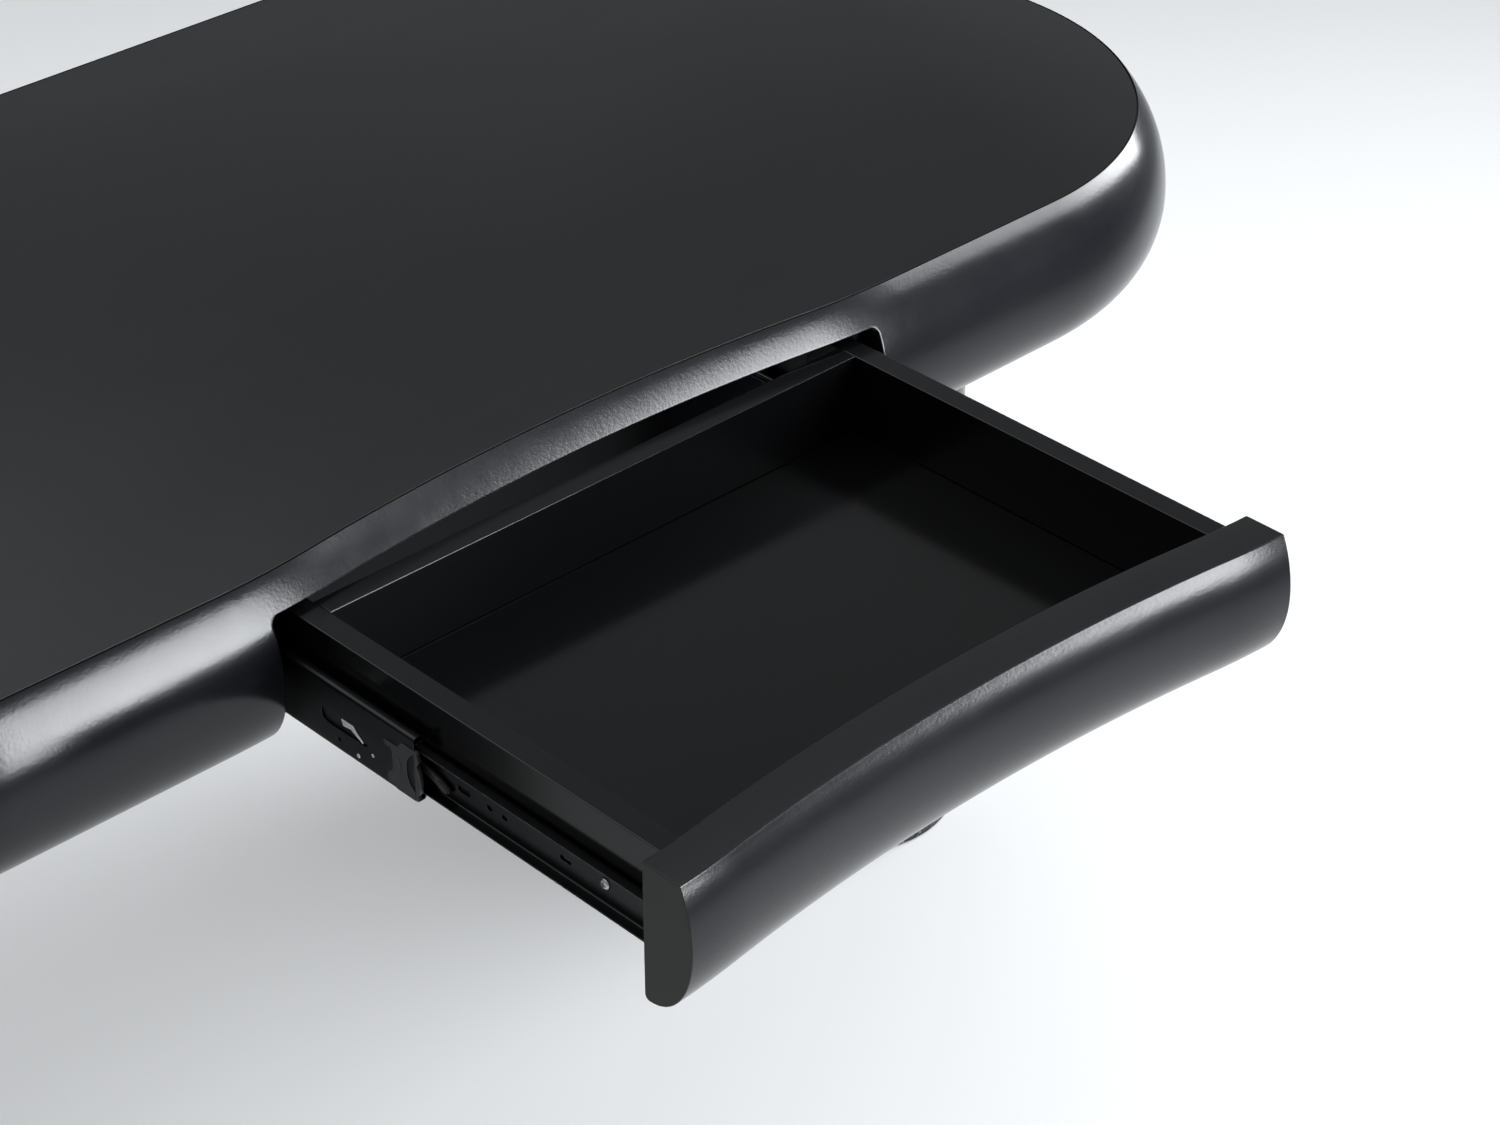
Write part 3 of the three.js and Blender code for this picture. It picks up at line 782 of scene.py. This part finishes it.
def build_members(side, sign):
    """The three members, each a bent sheet whose ends are given as distances along y."""
    web, middle_web, inner_web = 12.2, 10.2, 0.8
    tip, low, high = 3.6, 17.9, 22.35
    middle_line = [(8.6, low), (tip, low), (tip, high), (middle_web, high),
                   (middle_web, -high), (tip, -high), (tip, -low), (8.6, -low)]
    middle_holes = [hole(middle_web, 130, -1.5, 5.2, 24, 34.0), hole(middle_web, 136, -14.0, 1.6, 16),
                    hole(middle_web, 210, 0, 3.0, 20), hole(middle_web, 300, 0, 4.0, 20, 10.0),
                    hole(middle_web, 372, 9.0, 2.2, 16)]
    inner_holes = [hole(inner_web, SCREW_Y, 0, 2.3, 20), hole(inner_web, 119.5, -2.0, 1.8, 16, 6.0),
                   hole(inner_web, 172, -1.5, 1.6, 16, 1.5), hole(inner_web, 185, -1.5, 1.7, 16, 1.5),
                   hole(inner_web, 207.5, -1.6, 2.2, 16, 7.0), hole(inner_web, 300, 0, 2.3, 20),
                   hole(inner_web, 350, 0, 2.3, 20, 6.0)]
    members = (("cabinet", channel(web, 4.2, 27.1), 60, 410, "desk", []),
               ("middle", bent_sheet(middle_line, SHEET, 2.2), 65, 405, f"middle_{side}", middle_holes),
               ("drawer", channel(inner_web, 8.6, 14.5), 43, 393, "drawer", inner_holes))
    for name, section, y0, y1, body, cutters in members:
        points, faces = prism(section, y0, y1, slide_lift)
        member = add_piece(f"{name}_channel_{side}", flipped(points, sign), faces, body,
                           BLACK_STEEL, [f"slide_{name}_member_{side}"])
        cut_with(member, [(flipped(cutter, sign), loops) for cutter, loops in cutters])
        bevel(member, 0.2, 2, 50)


def build_end_clip(side, sign):
    """Plastic clip on the middle member's front end, and the bright tab and rivets behind it."""
    body = f"middle_{side}"
    web = 10.8
    clip = [(92, 6.5), (86, 6.5), (85, 4), (85, -8.5), (90, -12.5), (90, -19), (85, -19), (82, -21),
            (65.2, -21), (65.2, -15), (70, -11), (72, -5), (72, 3), (69, 9), (65.2, 12), (65.2, 15),
            (76, 15), (80, 10), (92, 10)]
    slide_plate(f"end_clip_plate_{side}", clip, web, 11.35, body, PLASTIC, 0.2, sign,
                [f"slide_end_clip_{side}"])
    rib = [(81, 3), (78.5, 3), (77, -4), (79, -11), (83, -13.5), (85, -13.5), (81.5, -9), (80, -4)]
    slide_plate(f"end_clip_rib_{side}", rib, 11.36, 11.62, body, PLASTIC, 0.1, sign)
    bumper = [(64.7, 15), (62, 13.5), (60.5, 9), (62.6, 5), (60.2, 1), (59.4, -6), (60.2, -13), (62.8, -16),
              (61.4, -19.5), (64.7, -21)]
    slide_plate(f"end_clip_bumper_{side}", bumper, 8.8, 11.5, body, PLASTIC, 0.5, sign)
    tab = [(133, 2.4), (131.5, -2.0), (124, -1.0), (119, -3.4), (113.5, -5.9), (113.2, -5.0), (118.6, -1.4),
           (122, 2.4)]
    slide_plate(f"slot_tab_{side}", tab, 9.75, 10.75, body, BARE_STEEL, 0.3, sign)
    for name, y, height, radius in (("lower", 118.0, -16.4, 1.5), ("front", 104.0, -9.0, 1.2)):
        slide_plate(f"slot_rivet_{name}_{side}", disc(y, height, radius), 10.75, 11.25, body,
                    BARE_STEEL, 0.35, sign)


def build_lever(side, sign):
    """Release lever: a boss and a curved finger with a thumb pad."""
    body = f"release_lever_{side}"

    def plate(name, outline, low, high, rounding, replaces=()):
        slide_plate(f"{name}_{side}", outline, low, high, body, PLASTIC, rounding, sign,
                    replaces)

    finger = [(9, 3.4), (18, 1.8), (27, -0.6), (34, -3.2), (37.4, -5.6), (37.6, -7.2), (36, -8.4),
              (32.8, -8.7), (26, -6.4), (17, -4), (9, -3.0)]
    arm = arc(LEVER_Y, 0, 5.4, -110, 110, 24) + [(LEVER_Y - reach, height) for reach, height in finger]
    plate("lever_arm", arm, 2.2, 4.6, 0.5, [f"slide_release_lever_{side}"])
    plate("lever_boss", disc(LEVER_Y, 0, 4.2), 4.5, 5.9, 0.4)
    pad = [(36.6, -5.4), (36.6, -7.6), (33.0, -8.0), (28.5, -6.3), (28.5, -1.9), (32.5, -3.4)]
    plate("lever_pad", [(LEVER_Y - reach, height) for reach, height in pad], 4.5, 5.5, 0.4)


def build_screw(side, sign):
    """Pan-head screw with a cross recess; its profile is given as (radius, depth)."""
    shank, tip = 1.9, -11.5
    profile = [(0.0, 3.3), (1.6, 3.22), (2.9, 2.85), (3.7, 2.25), (4.0, 1.7), (4.0, 1.36), (shank, 1.34),
               (shank, tip)]
    turns = [2 * math.pi * i / 32 for i in range(33)]

    def at(radius, depth, turn):
        return slide_lift(depth, radius * math.sin(turn), SCREW_Y + radius * math.cos(turn))

    surface = Surface()
    for a, b in zip(turns, turns[1:]):
        surface.grid([[at(radius, depth, turn) for radius, depth in profile] for turn in (a, b)])
    surface.face([at(shank, tip, turn) for turn in turns[:-1]])
    screw = add_piece(f"slide_fixing_{side}", flipped(surface.points, sign), surface.faces, "drawer",
                      ZINC, [f"slide_screw_{side}"])
    recess = []
    for wide, tall in ((2.2, 0.55), (0.55, 2.2)):
        corners = [(SCREW_Y - wide, -tall), (SCREW_Y + wide, -tall), (SCREW_Y + wide, tall),
                   (SCREW_Y - wide, tall)]
        points, faces = prism(corners, 1.9, 4.0, lambda y, height, depth: slide_lift(depth, height, y))
        recess.append((flipped(points, sign), faces))
    cut_with(screw, recess)
    bevel(screw, 0.12, 2, 45)


def build_balls(side, sign):
    """Ten balls above and ten below in each of the two cages."""
    radius = 1.35
    for cage, y0, y1, height, depth in (("outer_cage", 178, 287, 24.7, 8.0),
                                        ("inner_cage", 193, 282, 16.2, 5.6)):
        balls = Surface()
        for y in spaced(y0, y1, 9):
            for level in (-height, height):
                rows = []
                for latitude in spaced(-90, 90, 8):
                    a = math.radians(latitude)
                    ring = arc(0, 0, radius * max(math.cos(a), 0.02), 0, 360, 12)
                    rows.append([slide_lift(depth + v, level + radius * math.sin(a), y + u) for u, v in ring])
                balls.grid(rows)
        add_piece(f"{cage}_balls_{side}", flipped(balls.points, sign), balls.faces, f"{cage}_{side}",
                  BARE_STEEL)


def build_slides(side, sign):
    for build in (build_members, build_end_clip, build_lever, build_screw, build_balls):
        build(side, sign)


build_edge()
build_top_panel()
build_drawer_front()
build_drawer_box()
pair(build_slides)


# ------------------------------------------------------------------ legs

def stadium(radius):
    front = arc(LEG_X, LEG_FRONT_Y, radius, 180, 360, 48)
    return front + arc(LEG_X, LEG_REAR_Y, radius, 0, 180, 48)


def build_leg(side, sign):
    plinth_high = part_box(f"leg_plinth_{side}")[1].z / MM
    shell_low, shell_high = (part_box(f"leg_front_stave_{side}")[i].z / MM for i in (0, 1))
    inner_r = LEG_R - LEG_WALL

    def add(name, mesh, material, replaces, width):
        points, faces = mesh
        piece = add_piece(f"{name}_{side}", flipped(points, sign), faces, "desk", material, replaces)
        bevel(piece, width)

    add("leg_foot", upright(stadium(LEG_R + PLINTH_PROUD), PLINTH_LIFT, plinth_high), PLINTH,
        [f"leg_plinth_{side}"], 1.2)
    for name, centre, start in (("front", LEG_FRONT_Y, 180), ("rear", LEG_REAR_Y, 0)):
        outline = arc(LEG_X, centre, LEG_R, start, start + 180, 48)
        outline += arc(LEG_X, centre, inner_r, start + 180, start, 32)
        add(f"leg_{name}_half_round", upright(outline, shell_low, shell_high), LACQUER,
            [f"leg_{name}_stave_{side}"], 0.6)


pair(build_leg)


# ------------------------------------------------------------------ CAD nodes that keep their shape

SLOT_MATERIALS = {"top_surface": SURFACE, "lacquer": LACQUER, "board": BOARD, "black_steel": BLACK_STEEL,
                  "zinc": ZINC, "black_plastic": PLASTIC, "plinth": PLINTH}

OWN_MATERIALS = {"modesty_panel": PANEL}
# The ball cages take the near-black cage plating, which is painted shade.
for stem in ("slide_outer_cage", "slide_inner_cage"):
    OWN_MATERIALS[f"{stem}_left"] = OWN_MATERIALS[f"{stem}_right"] = CAGE_ZINC_PAINTED_DARK

slots = {part["node"]: part["material_slot"] for part in frame["record"]["subparts"]}
for node, obj in frame["nodes"].items():
    obj.data.materials.clear()
    obj.data.materials.append(OWN_MATERIALS.get(node) or SLOT_MATERIALS[slots[node]])
    if not obj.hide_render:
        bevel(obj, 0.5 if slots[node] in ("lacquer", "board") else 0.3, 2, 40)


# ------------------------------------------------------------------ floor, lights, camera

def build_floor():
    mesh = bpy.data.meshes.new("floor")
    half = 14.0
    corners = [(-half, -half, 0), (half, -half, 0), (half, half, 0), (-half, half, 0)]
    mesh.from_pydata(corners, [], [(0, 1, 2, 3)])
    floor = bpy.data.objects.new("floor", mesh)
    bpy.context.scene.collection.objects.link(floor)
    n = Nodes("pale_floor")
    n.set(IOR=1.4, Specular_IOR_Level=0.2)
    drift = n.noise(0.7, 3.0)
    n.link(n.mix(drift, (0.66, 0.66, 0.66), (0.69, 0.69, 0.69)), n.shader.inputs["Base Color"])
    n.link(n.spread(drift, 0.3, 0.7, 0.7, 0.8), n.shader.inputs["Roughness"])
    mesh.materials.append(n.material)


def add_light(name, place, target, size, radiance, spread=180.0, roll=0.0):
    """A softbox that keeps its brightness seen from straight in front when its spread is narrowed."""
    half = math.radians(spread / 2)
    focus = 1.0 if spread >= 180.0 else (math.tan(half) - half) / math.tan(half)
    data = bpy.data.lights.new(name, "AREA")
    data.shape = "RECTANGLE"
    data.size, data.size_y = size
    data.spread = 2 * half
    data.energy = math.pi * size[0] * size[1] * radiance * focus
    data.color = (0.95, 0.975, 1.0)
    light = bpy.data.objects.new(name, data)
    turn = (Vector(target) - Vector(place)).to_track_quat("-Z", "Y").to_matrix().to_4x4()
    light.matrix_world = Matrix.Translation(place) @ turn @ Matrix.Rotation(math.radians(roll), 4, "Z")
    bpy.context.scene.collection.objects.link(light)


def build_lights():
    add_light("front_softbox", (1.2, -2.9, 1.4), (0.1, -0.1, 1.05), (1.0, 1.9), 34.0, 90.0)
    add_light("right_softbox", (3.1, -1.0, 1.92), (0.0, -0.1, 1.0), (3.1, 1.3), 22.0, 100.0, -30.0)
    add_light("overhead", (-0.9, 1.0, 4.2), (-0.9, 1.0, 0.0), (6.0, 6.0), 1.3)
    world = bpy.data.worlds.new("studio")
    world.use_nodes = True
    world.node_tree.nodes["Background"].inputs["Color"].default_value = (0.95, 0.97, 1.0, 1)
    world.node_tree.nodes["Background"].inputs["Strength"].default_value = 0.3
    bpy.context.scene.world = world
    bpy.context.scene.view_settings.view_transform = "Standard"


def build_camera():
    data = bpy.data.cameras.new("camera")
    data.sensor_width = 36.0
    data.lens = 88.19
    camera = bpy.data.objects.new("camera", data)
    place, azimuth, elevation, lean = (-1.2852, -1.6567, 1.9195), -43.598, 32.952, -0.139
    turn = Matrix.Rotation(math.radians(azimuth), 4, "Z")
    tilt = Matrix.Rotation(math.radians(90 - elevation), 4, "X")
    roll = Matrix.Rotation(math.radians(lean), 4, "Z")
    camera.matrix_world = Matrix.Translation(place) @ turn @ tilt @ roll
    bpy.context.scene.collection.objects.link(camera)
    bpy.context.scene.camera = camera


build_floor()
build_lights()
build_camera()
